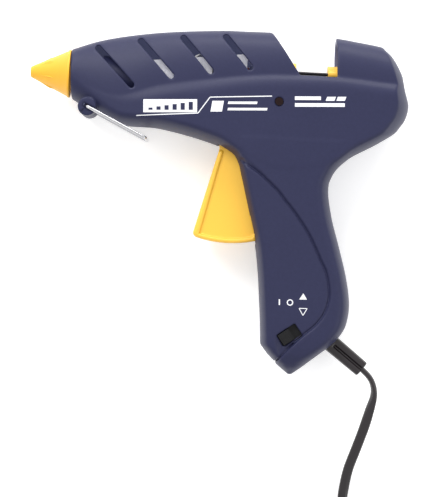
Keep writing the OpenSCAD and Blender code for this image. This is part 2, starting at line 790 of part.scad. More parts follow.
module cord_coil() {
    color(black_colour) translate([coil_at.x, coil_at.y, 0]) rotate_extrude()
        polygon([[24.4, 2], [25.8, 0.6], [36.2, 0.6], [37.6, 2], [37.6, 10.1], [36.2, 11.5], [25.8, 11.5],
            [24.4, 10.1]]);
}

module cord_tail() {
    color(black_colour)
        sweep([for (s = [0 : 4 : 20]) route_point(tail_route, s)], lead_w / 2, lead_t / 2, 12);
}

module cord_tie() {
    color(dark_colour) translate([coil_at.x, coil_at.y, 0]) rotate(175) difference() {
        rotate_extrude(angle = 10) polygon([[23.6, 0], [38.4, 0], [38.4, 12.1], [23.6, 12.1]]);
        rotate(-2) rotate_extrude(angle = 14)
            polygon([[24.3, 0.55], [37.7, 0.55], [37.7, 11.6], [24.3, 11.6]]);
    }
}

// Flat two-pin plug: stations of x, half width and half height
plug_table = [
    [22, 2.4, 3.2], [2, 3.6, 4.6], [-1, 6, 5.6], [-6, 13, 6.5], [-12, 16.8, 6.85], [-20, 17.4, 6.85],
    [-34.8, 17.65, 6.85], [-36, 17.1, 6.3]
];

module plug_body() {
    color(black_colour) difference() {
        loft([for (p = plug_table) [for (i = [0 : 31])
            let (a = 360 * i / 32, c = cos(a), s = sin(a))
            [plug_at.x + p.x, plug_at.y + p.y * sign(c) * pow(abs(c), 0.7),
                plug_at.z + p.z * sign(s) * pow(abs(s), 0.7)]]]);
        for (side = [-1, 1]) translate([plug_at.x - 37, plug_at.y + side * pin_pitch / 2, plug_at.z])
            rotate([0, 90, 0]) cylinder(h = 9, r = 2.02);
    }
}

module plug_pins() {
    color(brass_colour) for (side = [-1, 1])
        translate([plug_at.x - 36 - 19, plug_at.y + side * pin_pitch / 2, plug_at.z]) rotate([0, 90, 0])
            cylinder(h = 19 + 7.8, r = 2);
}

housing_left();
housing_right();
nozzle_cap();
nozzle();
melt_chamber();
heater();
heater_clip();
front_support();
rear_support();
inlet_sleeve();
sleeve_clamp();
front_guide();
guide_rods();
rear_guide();
feed_carriage();
clamp_jaw();
jaw_pin();
return_spring();
trigger();
trigger_pin();
indicator_lens();
indicator_lamp();
switch_body();
switch_slider();
wire_stand();
housing_screws();
strain_relief();
cord_clamp();
clamp_screws();
inner_leads();
cord_tube();
cord_coil();
cord_tail();
cord_tie();
plug_body();
plug_pins();
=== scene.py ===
"""Looks for a corded glue gun that lies on its side: a camera, a lead, its shells and its materials."""

import json
import math

import bmesh
import bpy
import numpy as np
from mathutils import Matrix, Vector
from mathutils.bvhtree import BVHTree


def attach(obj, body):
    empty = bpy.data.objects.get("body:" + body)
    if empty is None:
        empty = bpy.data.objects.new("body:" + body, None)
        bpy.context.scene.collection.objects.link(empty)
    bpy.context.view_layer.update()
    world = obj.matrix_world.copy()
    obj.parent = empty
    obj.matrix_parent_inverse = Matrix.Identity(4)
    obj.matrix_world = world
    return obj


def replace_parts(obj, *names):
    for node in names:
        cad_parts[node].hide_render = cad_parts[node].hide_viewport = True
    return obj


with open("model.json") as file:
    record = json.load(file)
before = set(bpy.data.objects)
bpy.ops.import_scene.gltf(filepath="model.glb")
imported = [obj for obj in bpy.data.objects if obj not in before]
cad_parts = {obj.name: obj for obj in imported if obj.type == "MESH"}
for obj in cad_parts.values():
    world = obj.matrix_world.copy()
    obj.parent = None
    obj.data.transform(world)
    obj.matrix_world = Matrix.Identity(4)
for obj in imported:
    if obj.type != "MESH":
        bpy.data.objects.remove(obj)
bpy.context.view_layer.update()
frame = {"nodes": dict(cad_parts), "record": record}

# Lengths are in millimetres, in the row frame. MID is the parting plane's height above the floor, and
# half the gun's width. AXIS_Y is the glue path's y.
MM = 0.001
MID = 19.0
AXIS_Y = 62.5

# --- Camera ----------------------------------------------------------------------------------
# The camera looks straight down, turned three degrees, from 1.1 m above the gun's middle plane.
CAMERA_XY = (4.7, -25.8)
CAMERA_ABOVE = 1100.0
CAMERA_ROLL = 3.0
VIEW_HEIGHT = 263.4
SENSOR = 36.0


def add_camera():
    data = bpy.data.cameras.new("camera")
    data.sensor_width = SENSOR
    data.lens = SENSOR * CAMERA_ABOVE / VIEW_HEIGHT
    data.clip_end = 20
    camera = bpy.data.objects.new("camera", data)
    camera.location = (CAMERA_XY[0] * MM, CAMERA_XY[1] * MM, (MID + CAMERA_ABOVE) * MM)
    camera.rotation_euler = (0, 0, math.radians(CAMERA_ROLL))
    bpy.context.collection.objects.link(camera)
    bpy.context.scene.camera = camera


# --- Light and floor -------------------------------------------------------------------------
# Each light's name, place, aim and size in metres, and its power in watts.
LIGHTS = [
    ("key", (-0.55, 0.75, 0.9), (0, 0, 0), (0.7, 0.5), 9),
    ("fill", (0.8, -0.3, 0.8), (0, 0, 0), (0.6, 0.6), 2),
    ("rim", (0.1, 0.95, 0.35), (0, 0.02, 0.01), (0.9, 0.3), 6.5),
]
WORLD_STRENGTH = 0.85
FLOOR_GLOW = 0.42
FLOOR_SIZE = 6
# The floor lies just under the gun, so that the two never share a plane.
FLOOR_Z = -0.0002


def add_light(name, at, aim, size, power):
    data = bpy.data.lights.new(name, "AREA")
    data.shape = "RECTANGLE"
    data.size, data.size_y = size
    data.energy = power
    light = bpy.data.objects.new(name, data)
    light.location = at
    light.rotation_euler = (Vector(aim) - Vector(at)).to_track_quat("-Z", "Y").to_euler()
    bpy.context.collection.objects.link(light)


def add_studio():
    """A white world, the lights and the floor."""
    world = bpy.data.worlds.new("studio")
    bpy.context.scene.world = world
    world.use_nodes = True
    background = world.node_tree.nodes["Background"]
    background.inputs["Color"].default_value = (1, 1, 1, 1)
    background.inputs["Strength"].default_value = WORLD_STRENGTH
    for light in LIGHTS:
        add_light(*light)
    bpy.ops.mesh.primitive_plane_add(size=FLOOR_SIZE, location=(0, 0, FLOOR_Z))
    floor = bpy.context.active_object
    floor.name = "floor"
    # The floor glows a little, as a light table does, so that only faint shadows are left on it.
    floor.data.materials.append(plain("floor", (0.93, 0.93, 0.93), 0.6, grain=0.01, glow=FLOOR_GLOW))
    bpy.context.scene.view_settings.view_transform = "Standard"


# --- Materials -------------------------------------------------------------------------------
# Noise scales of the fine grain and of the broad soiling, how much the soiling shows, how far the
# roughness strays either way, and how deep a texture is in metres.
GRAIN_SCALE = 600
SOIL_SCALE = 28
SOIL = 0.06
UNEVEN = 0.06
TEXTURE_DEPTH = 0.0001


def srgb(r, g, b):
    """Linear colour of an sRGB colour given from 0 to 255."""
    return tuple(((c / 255 + 0.055) / 1.055) ** 2.4 if c > 10 else c / 255 / 12.92 for c in (r, g, b))


def plain(name, colour, roughness, metallic=0.0, grain=0.04, bump=0.0, bump_scale=2500, coat=0.0,
          brushed=None, shine=0.5, glow=0.0):
    """A surface with a fine grain, uneven gloss, faint soiling and an optional texture."""
    material = bpy.data.materials.new(name)
    material.use_nodes = True
    nodes, links = material.node_tree.nodes, material.node_tree.links
    shader = nodes["Principled BSDF"]
    shader.inputs["Metallic"].default_value = metallic
    shader.inputs["Coat Weight"].default_value = coat
    shader.inputs["Specular IOR Level"].default_value = shine
    shader.inputs["Emission Color"].default_value = (*colour, 1)
    shader.inputs["Emission Strength"].default_value = glow
    place = nodes.new("ShaderNodeTexCoord")
    where = place.outputs["Object"]
    if brushed:
        stretch = nodes.new("ShaderNodeMapping")
        stretch.inputs["Scale"].default_value = brushed
        links.new(where, stretch.inputs["Vector"])
        where = stretch.outputs["Vector"]

    def noise(scale, detail):
        texture = nodes.new("ShaderNodeTexNoise")
        texture.inputs["Scale"].default_value = scale
        texture.inputs["Detail"].default_value = detail
        links.new(where, texture.inputs["Vector"])
        return texture.outputs["Fac"]

    fine, broad = noise(GRAIN_SCALE, 3), noise(SOIL_SCALE, 4)
    tint = nodes.new("ShaderNodeMix")
    tint.data_type = "RGBA"
    tint.inputs["A"].default_value = (*[c * (1 - grain) for c in colour], 1)
    tint.inputs["B"].default_value = (*[min(1, c * (1 + grain)) for c in colour], 1)
    links.new(fine, tint.inputs["Factor"])
    soil = nodes.new("ShaderNodeMix")
    soil.data_type = "RGBA"
    soil.blend_type = "MULTIPLY"
    soil.inputs["Factor"].default_value = SOIL
    links.new(tint.outputs["Result"], soil.inputs["A"])
    links.new(broad, soil.inputs["B"])
    links.new(soil.outputs["Result"], shader.inputs["Base Color"])
    gloss = nodes.new("ShaderNodeMapRange")
    gloss.inputs["To Min"].default_value = max(0.02, roughness - UNEVEN)
    gloss.inputs["To Max"].default_value = min(1, roughness + UNEVEN)
    links.new(broad, gloss.inputs["Value"])
    links.new(gloss.outputs["Result"], shader.inputs["Roughness"])
    if bump:
        relief = nodes.new("ShaderNodeBump")
        relief.inputs["Strength"].default_value = bump
        relief.inputs["Distance"].default_value = TEXTURE_DEPTH
        links.new(noise(bump_scale, 2), relief.inputs["Height"])
        links.new(relief.outputs["Normal"], shader.inputs["Normal"])
    return material


def make_materials():
    """The record's material slots by name, and the finishes that only the looks need, two of them with
    painted light or shade.
    """
    return {
        "body_plastic": plain("body plastic", srgb(40, 42, 71), 0.45, grain=0.1, bump=0.4, bump_scale=1200,
                              shine=0.25),
        # Painted light: a paler copy of the body plastic that glows a little, for the shells' inside, in
        # place of light falling into the shell.
        "painted_lit_inner_plastic": plain("painted lit inner plastic", srgb(88, 92, 122), 0.4, bump=0.1, glow=0.35),
        "yellow_plastic": plain("yellow plastic", srgb(246, 193, 66), 0.4, grain=0.02, bump=0.06),
        # Painted shade: a darker copy of the yellow plastic for the nozzle cap, so that the strong light on
        # it doesn't wash it out.
        "cap_painted_shade_yellow": plain("cap yellow with painted shade", srgb(238, 178, 54), 0.45, grain=0.02, bump=0.08, shine=0.3),
        "dark_plastic": plain("dark plastic", srgb(22, 22, 24), 0.5, bump=0.15, shine=0.3),
        "lead_rubber": plain("lead rubber", srgb(36, 31, 34), 0.26, bump=0.1),
        "aluminium_cast": plain("cast aluminium", srgb(244, 243, 247), 0.5, 0.1, bump=0.3, bump_scale=900),
        "steel": plain("bright steel", srgb(205, 205, 208), 0.25, 1.0, bump=0.1, brushed=(1, 1, 8)),
        "dark_steel": plain("blackened steel", srgb(46, 44, 46), 0.35, 0.8, bump=0.1, brushed=(6, 1, 1)),
        "brass": plain("brass", srgb(205, 165, 85), 0.3, 1.0, bump=0.1, brushed=(6, 1, 1)),
        "ceramic": plain("ceramic", srgb(226, 222, 208), 0.55, bump=0.1),
        "silicone": plain("silicone", srgb(160, 70, 50), 0.5, bump=0.1),
        "lens_red": plain("red lens", srgb(24, 5, 6), 0.12, bump=0.03, shine=0.25),
        "lamp_glass": plain("lamp glass", srgb(235, 205, 170), 0.1, coat=0.6, bump=0.02),
        "nickel": plain("nickel", srgb(214, 210, 202), 0.2, 1.0, bump=0.06, brushed=(8, 1, 1)),
        "print": plain("white print", srgb(235, 236, 240), 0.5, grain=0.02, bump=0.05),
    }


def paint(obj, slot, finish=None):
    """Gives a piece the material of its slot, or a finish in its place; the print has no slot."""
    obj.data.materials.clear()
    obj.data.materials.append(materials[finish or slot])
    return obj


# --- Meshes ----------------------------------------------------------------------------------
def add_mesh(name, points, faces, normals=None):
    """An object from points in millimetres, in the row frame."""
    mesh = bpy.data.meshes.new(name)
    mesh.from_pydata((np.asarray(points) * MM).tolist(), [], faces)
    mesh.polygons.foreach_set("use_smooth", [True] * len(mesh.polygons))
    if normals is not None:
        mesh.normals_split_custom_set_from_vertices(np.asarray(normals).tolist())
    mesh.update()
    obj = bpy.data.objects.new(name, mesh)
    bpy.context.collection.objects.link(obj)
    return obj


def grid_faces(rows, columns, loop=False):
    """Quads of a tube of rings, which runs round to its first ring or has a cap at each end."""
    faces = []
    for i in range(rows if loop else rows - 1):
        near, far = i * columns, (i + 1) % rows * columns
        for j in range(columns):
            k = (j + 1) % columns
            faces.append((near + j, near + k, far + k, far + j))
    if not loop:
        faces.append(tuple(reversed(range(columns))))
        faces.append(tuple((rows - 1) * columns + j for j in range(columns)))
    return faces


def sweep(name, path, wide, thick, twists=None, corners=16):
    """A tube of elliptic section along a path; its wide axis stands upright where the twist is 0."""
    path = np.asarray(path, float)
    way = np.gradient(path, axis=0)
    way /= np.linalg.norm(way, axis=1)[:, None]
    twists = np.zeros(len(path)) if twists is None else np.radians(twists)
    turn = np.arange(corners) / corners * 2 * math.pi
    rings = []
    for point, along, twist in zip(path, way, twists):
        side = np.cross((0, 0, 1), along)
        side /= np.linalg.norm(side)
        upright = np.cross(along, side)
        u = upright * math.cos(twist) + side * math.sin(twist)
        v = np.cross(along, u)
        rings.append(point + np.outer(np.cos(turn) * wide / 2, u) + np.outer(np.sin(turn) * thick / 2, v))
    return add_mesh(name, np.concatenate(rings), grid_faces(len(path), corners))


def lathe(name, profile, sides=96):
    """A closed solid of revolution about the glue path, from a loop of (x, r)."""
    turn = np.arange(sides) / sides * 2 * math.pi
    points = [(x, AXIS_Y + r * math.cos(a), MID + r * math.sin(a)) for x, r in profile for a in turn]
    obj = add_mesh(name, points, grid_faces(len(profile), sides, loop=True))
    mesh = bmesh.new()
    mesh.from_mesh(obj.data)
    bmesh.ops.recalc_face_normals(mesh, faces=mesh.faces)
    mesh.to_mesh(obj.data)
    mesh.free()
    return obj


def sharpen(obj, angle=35):
    """Shades a piece smooth, with creases where its faces meet at more than an angle."""
    obj.data.polygons.foreach_set("use_smooth", [True] * len(obj.data.polygons))
    bpy.context.view_layer.objects.active = obj
    bpy.ops.object.select_all(action="DESELECT")
    obj.select_set(True)
    bpy.ops.object.shade_smooth_by_angle(angle=math.radians(angle))


# --- Solid fields ----------------------------------------------------------------------------
# A field is negative inside a solid and close to the distance from its surface, in millimetres.
def join(a, b, k):
    """The union of two fields, with a fillet of about k."""
    h = np.maximum(k - np.abs(a - b), 0) / k
    return np.minimum(a, b) - h * h * k / 4


def cut(a, b, k):
    """Field a without field b, with edges rounded by about k."""
    return -join(-a, b, k)


def common(a, b, k):
    """What two fields share, with edges rounded by about k."""
    return -join(-a, -b, k)


def polygon_field(x, y, corners):
    """Signed distance from a polygon, over two arrays of coordinates."""
    best = np.full(x.shape, 1e9)
    inside = np.zeros(x.shape, bool)
    for (ax, ay), (bx, by) in zip(corners, corners[1:] + corners[:1]):
        dx, dy = bx - ax, by - ay
        t = np.clip(((x - ax) * dx + (y - ay) * dy) / (dx * dx + dy * dy), 0, 1)
        best = np.minimum(best, np.hypot(x - ax - t * dx, y - ay - t * dy))
        if dy:
            inside ^= ((ay > y) != (by > y)) & (x < dx * (y - ay) / dy + ax)
    return np.where(inside, -best, best)


def line_field(x, y, corners):
    """Distance from an open line, and the signed side of it (positive on its left)."""
    best = np.full(x.shape, 1e9)
    side = np.zeros(x.shape)
    for (ax, ay), (bx, by) in zip(corners, corners[1:]):
        dx, dy = bx - ax, by - ay
        t = np.clip(((x - ax) * dx + (y - ay) * dy) / (dx * dx + dy * dy), 0, 1)
        d = np.hypot(x - ax - t * dx, y - ay - t * dy)
        side = np.where(d < best, np.sign(dx * (y - ay) - dy * (x - ax)), side)
        best = np.minimum(best, d)
    return best, side


def curved(corners, parts=4):
    """A smooth line through the corners, each stretch of it in several parts."""
    table = [(i, *corner) for i, corner in enumerate(corners)]
    return [(float(column(table, i / parts, 1)), float(column(table, i / parts, 2)))
            for i in range(parts * (len(corners) - 1) + 1)]


def ellipse_field(u, v, a, b, power=2.0):
    """Distance from an upright superellipse with half axes a and b, in one quadrant."""
    u, v = np.maximum(u / a, 1e-3), np.maximum(v / b, 1e-3)
    rho = (u ** power + v ** power) ** (1 / power)
    slope = np.hypot(u ** (power - 1) / a, v ** (power - 1) / b) / rho ** (power - 1)
    return (rho - 1) / slope


def column(table, x, c):
    """Smooth curve through one column of a table of stations."""
    table = np.asarray(table, float)
    i = np.clip(np.searchsorted(table[:, 0], x, side="right") - 1, 0, len(table) - 2)
    slopes = np.gradient(table[:, c], edge_order=1) / np.gradient(table[:, 0], edge_order=1)
    h = table[i + 1, 0] - table[i, 0]
    u = np.clip((x - table[i, 0]) / h, 0, 1)
    a, b = table[i, c], table[i + 1, c]
    return (a * (1 + 2 * u) * (1 - u) ** 2 + b * u * u * (3 - 2 * u)
            + h * u * (1 - u) * (slopes[i] * (1 - u) - slopes[i + 1] * u))


def sample(field, at):
    """Trilinear values of a grid at fractional places."""
    base = np.clip(np.floor(at).astype(int), 0, np.array(field.shape) - 2)
    t = at - base
    total = np.zeros(len(at))
    for corner in np.ndindex(2, 2, 2):
        weight = np.prod(np.where(corner, t, 1 - t), axis=1)
        total += weight * field[tuple((base + corner).T)]
    return total


def surface(name, field, low, step):
    """A mesh of a grid's zero surface by surface nets, moved onto it and shaded by its slope."""
    inside = field < 0
    cells = np.zeros(np.array(field.shape) - 1, int)
    span = [slice(None, -1), slice(1, None)]
    for corner in np.ndindex(2, 2, 2):
        cells += inside[tuple(span[c] for c in corner)]
    active = np.argwhere((cells > 0) & (cells < 8))
    number = np.full(cells.shape, -1)
    number[tuple(active.T)] = np.arange(len(active))
    total, hits = np.zeros((len(active), 3)), np.zeros(len(active))
    for axis in range(3):
        for corner in np.ndindex(2, 2):
            start = np.insert(corner, axis, 0)
            end = np.insert(corner, axis, 1)
            f0, f1 = field[tuple((active + start).T)], field[tuple((active + end).T)]
            cross = (f0 < 0) != (f1 < 0)
            t = np.where(cross, f0 / np.where(cross, f0 - f1, 1), 0)
            spot = start + t[:, None] * (end - start)
            total += spot * cross[:, None]
            hits += cross
    places = active + total / hits[:, None]
    quads = []
    for axis in range(3):
        a, b = [k for k in range(3) if k != axis]
        low_side = [slice(1, -1)] * 3
        low_side[axis] = slice(0, -1)
        high_side = list(low_side)
        high_side[axis] = slice(1, None)
        near, far = inside[tuple(low_side)], inside[tuple(high_side)]
        edges = np.argwhere(near != far) + [0 if k == axis else 1 for k in range(3)]
        back = np.zeros((4, 3), int)
        back[1, a] = back[2, a] = back[2, b] = back[3, b] = 1
        quad = np.stack([number[tuple((edges - shift).T)] for shift in back], axis=1)
        leads = inside[tuple(edges.T)]
        if axis == 1:
            leads = ~leads
        quads.append(np.where(leads[:, None], quad, quad[:, ::-1]))
    quads = np.concatenate(quads)
    slope = np.gradient(field)
    for _ in range(2):
        value = sample(field, places)
        pull = np.stack([sample(s, places) for s in slope], axis=1)
        size = np.maximum((pull ** 2).sum(axis=1), 0.05)
        places -= pull * np.clip(value / size, -0.4, 0.4)[:, None]
    pull = np.stack([sample(s, places) for s in slope], axis=1)
    normals = pull / np.maximum(np.linalg.norm(pull, axis=1), 1e-9)[:, None]
    return add_mesh(name, np.asarray(low) + places * step, quads.tolist(), normals)


def space(low, high, step):
    """Coordinate arrays of a grid, shaped to broadcast over it."""
    axes = [np.arange(a, b + step, step) for a, b in zip(low, high)]
    return np.meshgrid(*axes, indexing="ij", sparse=True)


# --- Housing ---------------------------------------------------------------------------------
# Stations of the barrel housing along X: x, top, crease, underside, half width at the crease, half
# width below it, shoulder drop, exponent of the arch.
BODY = [
    (-79, 75.4, 62.4, 49.7, 12.8, 12.8, 0.2, 2.0),
    (-66, 80.1, 54.5, 43.0, 13.9, 14.0, 1.0, 2.2),
    (-52, 83.5, 51.5, 37.0, 15.2, 15.6, 4.0, 2.3),
    (-30, 86.9, 57.5, 35.7, 16.0, 17.8, 7.0, 2.5),
    (0, 89.4, 62.8, 28.6, 16.2, 19.3, 8.0, 2.5),
    (12, 89.6, 64.6, 22.2, 16.2, 19.4, 8.0, 2.5),
    (30, 89.7, 66.3, 14.0, 16.2, 19.4, 8.0, 2.5),
    (60, 88.4, 66.9, 17.5, 16.2, 19.4, 8.0, 2.5),
    (72, 86.9, 66.3, 26.2, 16.1, 19.4, 8.0, 2.5),
    (85, 84.9, 65.2, 33.7, 16.0, 19.3, 8.0, 2.5),
    (104, 80.2, 64.2, 46.4, 15.6, 18.6, 8.0, 2.5),
]
# Outline of the housing's rear face on the parting plane, and how far it falls back at the sides.
REAR = [
    (82, 92), (85.6, 84.6), (91, 79.4), (96, 71), (99, 61.7), (100.4, 54), (99, 47.3), (96, 42.4),
    (92, 36), (90, 24),
]
REAR_FALL = 7.5
# The rear face shapes the barrel from here on.
REAR_FROM = 70
# How much the nose's face leans back, for each millimetre below its top.
NOSE_LEAN = 0.042
# Stations of the grip from its top down: -y, front edge, back edge, half width.
GRIP = [
    (-33, 8.0, 71, 19.4),
    (-26, 9.6, 67.0, 19.4),
    (-19, 11.3, 63.6, 19.4),
    (-10, 13.7, 60.3, 19.4),
    (5, 17.7, 62.4, 19.4),
    (22, 22.1, 67.5, 19.4),
    (38, 24.6, 72.1, 19.4),
    (52, 26.0, 74.4, 19.4),
    (63, 27.0, 73.2, 19.4),
    (70, 27.5, 69.4, 19.2),
    (75, 27.9, 64.6, 18.6),
    (76.5, 28.9, 62.8, 18.3),
    (81, 32.8, 57.3, 17.0),
    (86, 38.5, 51.2, 13.5),
    (90, 43.6, 46.0, 6.0),
]
# The grid that holds the upper half: its low and high corners from the parting plane, and its step.
HALF_LOW = (-84, -93, -0.7)
HALF_HIGH = (104, 94, 20.3)
STEP = 0.55
WALL = 2.2
# Deeper than this under the outside, a face gets the paler, glowing inner material: painted light on the
# shell's inside.
INNER_DEPTH = 1.2
# The slots: ends of the first one's centre line, and how far apart they are.
SLOT_TOP = (-64.8, 22.3)
SLOT_END = (-46.1, 20.5)
SLOT_R = 1.5
# The step between the grip's front panel and the rest, from the trigger down to the butt.
SEAM = [
    (14, 21), (22.8, 15), (28.2, 10.5), (33.7, 5.5), (37.8, 0.6), (42.2, -4.3), (46.4, -9.8), (50.6, -15.9),
    (54.2, -22.5), (57.4, -29), (60.7, -35.5), (62.6, -43.9), (62.7, -49.9), (60.6, -57.1), (56.3, -63.3),
    (49.3, -69.6), (42.5, -76.6), (36, -85),
]
# Panel and groove together stay thinner than the wall, because the hollow doesn't follow them.
PANEL_DEPTH = 0.75
SEAM_DEPTH = 1.2
STAND_PIVOT = (-68.8, 44.9)
STAND_TURN = -25.5
STAND_LEN = 35.0
STAND_BOSS_R = 4.8
STAND_BOSS_HALF = 15
LENS_AT = (31.5, 52.3)
LENS_HOLE_R = 2.15
SWITCH_AT = (43.1, -68.9)
SWITCH_TURN = 37.0
RELIEF_AT = (66.3, -73.0)
RELIEF_TURN = -37.3
RELIEF_LEN = 21.1
# Screws: x, y, and the length of the post in each half.
SCREWS = [(-50, 46, 14), (-22, 45, 17), (88, 43.5, 17), (52, 8, 18), (66, -50, 18), (36, -50, 18)]
POST_R = 3.2
SCREW_HOLE_R = 1.7
HEAD_HOLE_R = 3.1
HEAD_DEPTH = 4
# A sleeve round a head's recess, and how far it reaches past the recess's floor.
SLEEVE_R = 4.7
SLEEVE_FLOOR = 1.5
TRIGGER_PIVOT = (8.2, 38.0)
PIVOT_BOSS_R = 4
PIVOT_BOSS_Z = 12.5
PIN_HOLE_R = 2.06
# Ribs across the barrel: x and lowest y.
RIBS = [(-60, 40), (-4, 49), (33.2, 40)]
# Bores along the glue path: from x, to x, radius.
BORES = [(-82, -75, 9.9), (-61, -57, 10.7), (-5, -1, 13.3), (33, 36, 8.4), (93, 104, 7.1)]


def turned(x, y, at, degrees):
    """Coordinates along and across a direction from a point."""
    c, s = math.cos(math.radians(degrees)), math.sin(math.radians(degrees))
    return (x - at[0]) * c + (y - at[1]) * s, (y - at[1]) * c - (x - at[0]) * s


def barrel_field(x, y, z):
    """The barrel's upper half: an arch above the crease, and a shoulder and flat side below it."""
    top, crease, low, arch, side, drop, power = (column(BODY, x, c) for c in range(1, 8))
    belly = 6.5 + 6.1 * np.clip((-52 - x) / 27, 0, 1)
    belly = np.minimum(belly, crease - drop - low)
    over = np.where(y > crease, ellipse_field(y - crease, z, top - crease, arch, power), z - arch)
    over = np.maximum(over, crease - 1 - y)
    # The shoulder swells from the crease down to the full width of the part below it.
    bulge = side - arch
    rise = np.clip((y - crease + drop) / drop, 0, 1.2)
    flat = (z - side + bulge * rise ** 2) / np.sqrt(1 + (2 * bulge * rise / drop) ** 2)
    flat = np.maximum(flat, y - crease - 0.5)
    under = ellipse_field(low + belly - y, z, belly, side)
    lower = np.where(y > crease - drop, flat, np.where(y > low + belly, z - side, under))
    return join(over, lower, np.clip(0.5 * bulge, 0.02, 0.7))


def grip_field(x, y, z):
    """The grip's upper half: a flat side between a rounded front and back."""
    front, back, side = (column(GRIP, -y, c) for c in range(1, 4))
    front_r = np.minimum(7, 0.45 * (back - front))
    back_r = np.minimum(9, 0.5 * (back - front))
    before = ellipse_field(front + front_r - x, z, front_r, side, 2.5)
    behind = ellipse_field(x - back + back_r, z, back_r, side, 2.4)
    field = np.where(x < front + front_r, before, np.where(x > back - back_r, behind, z - side))
    return np.maximum(field, np.maximum(y - 33, -90 - y))


def smooth_outside(x, y, z):
    """The upper half as a solid, before its panel and boss; z is from the parting plane."""
    nose = BODY[0][0] + NOSE_LEAN * (BODY[0][1] - y) - x
    barrel = common(barrel_field(x, y, z), nose, 1.0)
    first = np.searchsorted(x.ravel(), REAR_FROM)
    far_x = x[first:]
    gap, side = line_field(far_x + REAR_FALL * (z / MID) ** 2 + 0 * y, y + 0 * far_x + 0 * z, curved(REAR))
    barrel[first:] = common(barrel[first:], gap * side, 0.8)
    outside = join(barrel, grip_field(x, y, z), 2.5)
    return common(outside, z - MID, 1.6)


def add_panel(x, y, outside):
    """Sinks the grip's front panel, with a groove along its edge."""
    gap, side = line_field(x + 0 * y, y + 0 * x, curved(SEAM))
    panel = np.clip(0.5 - side * gap, 0, 1) * np.clip((22 - y) / 4, 0, 1)
    broad = 0.5 + 0.75 * np.clip((y - 12) / 9, 0, 1)
    return outside + PANEL_DEPTH * panel + SEAM_DEPTH * np.exp(-((gap / broad) ** 2))


def add_stand_boss(x, y, z, outside):
    """Adds the boss that the wire stand turns in, with a notch in its face."""
    pivot = np.hypot(x - STAND_PIVOT[0], y - STAND_PIVOT[1])
    boss = np.maximum(pivot - STAND_BOSS_R, z - STAND_BOSS_HALF)
    notch = polygon_field(x + 0 * y, y + 0 * x, [(-68.8, 45.4), (-74, 40), (-68.8, 38), (-62, 41.2)])
    return join(outside, cut(boss, np.maximum(notch, STAND_BOSS_HALF - 1 - z), 0.3), 0.8)


def add_posts_and_ribs(x, y, z, outside, shell):
    """Adds the screw posts and ribs, which end halfway through the wall, and the trigger's boss."""
    for sx, sy, length in SCREWS:
        post = np.maximum(np.hypot(x - sx, y - sy) - POST_R, z - length)
        shell = np.minimum(shell, np.maximum(post, outside + WALL / 2))
    pivot = np.hypot(x - TRIGGER_PIVOT[0], y - TRIGGER_PIVOT[1])
    boss = np.maximum(pivot - PIVOT_BOSS_R, PIVOT_BOSS_Z - z)
    shell = np.minimum(shell, np.maximum(boss, z - MID + 1))
    for at, low in RIBS:
        rib = np.maximum(np.maximum(at - x, x - at - WALL), low - y)
        shell = np.minimum(shell, np.maximum(rib, outside + WALL / 2))
    return shell


def bore_glue_path(x, y, z, shell):
    """Cuts the seats along the glue path, and the gaps for the carriage's rails."""
    from_axis = np.hypot(y - AXIS_Y, z)
    for x0, x1, r in BORES:
        shell = cut(shell, np.maximum(from_axis - r, np.maximum(x0 - x, x - x1)), 0.4)
    rails = np.maximum(np.abs(y - AXIS_Y) - 3.8, np.abs(z - 12.5) - 1.5)
    return np.maximum(shell, -np.maximum(rails, np.abs(x - 34) - 3))


def housing_field(x, y, z):
    """The outside of the upper half as a solid, and the hollow half with its posts, ribs and bores."""
    smooth = smooth_outside(x, y, z)
    outside = add_stand_boss(x, y, z, add_panel(x, y, smooth))
    shell = common(outside, -(smooth + WALL), 0.4)
    shell = add_posts_and_ribs(x, y, z, outside, shell)
    return outside, bore_glue_path(x, y, z, shell)


def slots_field(x, y):
    """The row of vent slots, as they run through the left half."""
    field = np.full((x + 0 * y).shape, 1e9)
    for i in range(4):
        x0, x1 = SLOT_TOP[0] + SLOT_TOP[1] * i, SLOT_END[0] + SLOT_END[1] * i
        y0 = float(column(BODY, x0, 1)) - 4.3
        y1 = float(column(BODY, x1, 2)) + 4.6
        field = np.minimum(field, line_field(x + 0 * y, y + 0 * x, [(x0, y0), (x1, y1)])[0] - SLOT_R)
    return field


def openings_field(x, y, z):
    """The stick's gap, the trigger's slot, the gland, the pins' holes and the stand's groove."""
    flat_x, flat_y = x + 0 * y, y + 0 * x
    gap = polygon_field(flat_x, flat_y, [(41.9, 66.8), (61.3, 66.8), (59.6, 100), (19.2, 100)])
    slot = polygon_field(flat_x, flat_y, [(1.1, 16), (9, -22.3), (46, -22.3), (46, 8), (30, 33), (1.1, 33)])
    slot = np.maximum(slot, z - np.where(flat_y < -8, 9, 7.3))
    along, across = turned(flat_x, flat_y, RELIEF_AT, RELIEF_TURN)
    gland = np.maximum(np.maximum(np.abs(along) - 8, np.abs(across) - 4.7), z - 3.8)
    pin = np.hypot(flat_x - TRIGGER_PIVOT[0], flat_y - TRIGGER_PIVOT[1]) - PIN_HOLE_R
    stand = np.hypot(flat_x - STAND_PIVOT[0], flat_y - STAND_PIVOT[1]) - 0.95
    pins = np.minimum(np.maximum(pin, z - 16), np.maximum(stand, 8 - z))
    along, across = turned(flat_x, flat_y, STAND_PIVOT, STAND_TURN)
    groove = np.maximum(np.abs(across) - 1.1, np.maximum(np.abs(along - 2.4) - 4.6, 13.6 - z))
    return np.minimum(np.minimum(gap, slot), np.minimum(np.minimum(gland, pins), groove))


def switch_field(x, y, outside):
    """The switch window, in the recess that leads a thumb to it."""
    flat_x, flat_y = x + 0 * y, y + 0 * x
    along, across = turned(flat_x, flat_y, SWITCH_AT, SWITCH_TURN)
    window = np.maximum(np.abs(along) - 5.7, np.abs(across) - 3.4)
    rim = [(35.5, -70.4), (38.3, -79.9), (50.4, -69.2)]
    dish = polygon_field(flat_x, flat_y, [*rim, (49, -67.5), (40, -74)])
    ramp = np.maximum(dish, -outside - 0.35 - 0.18 * line_field(flat_x, flat_y, rim)[0])
    return np.minimum(window, ramp)


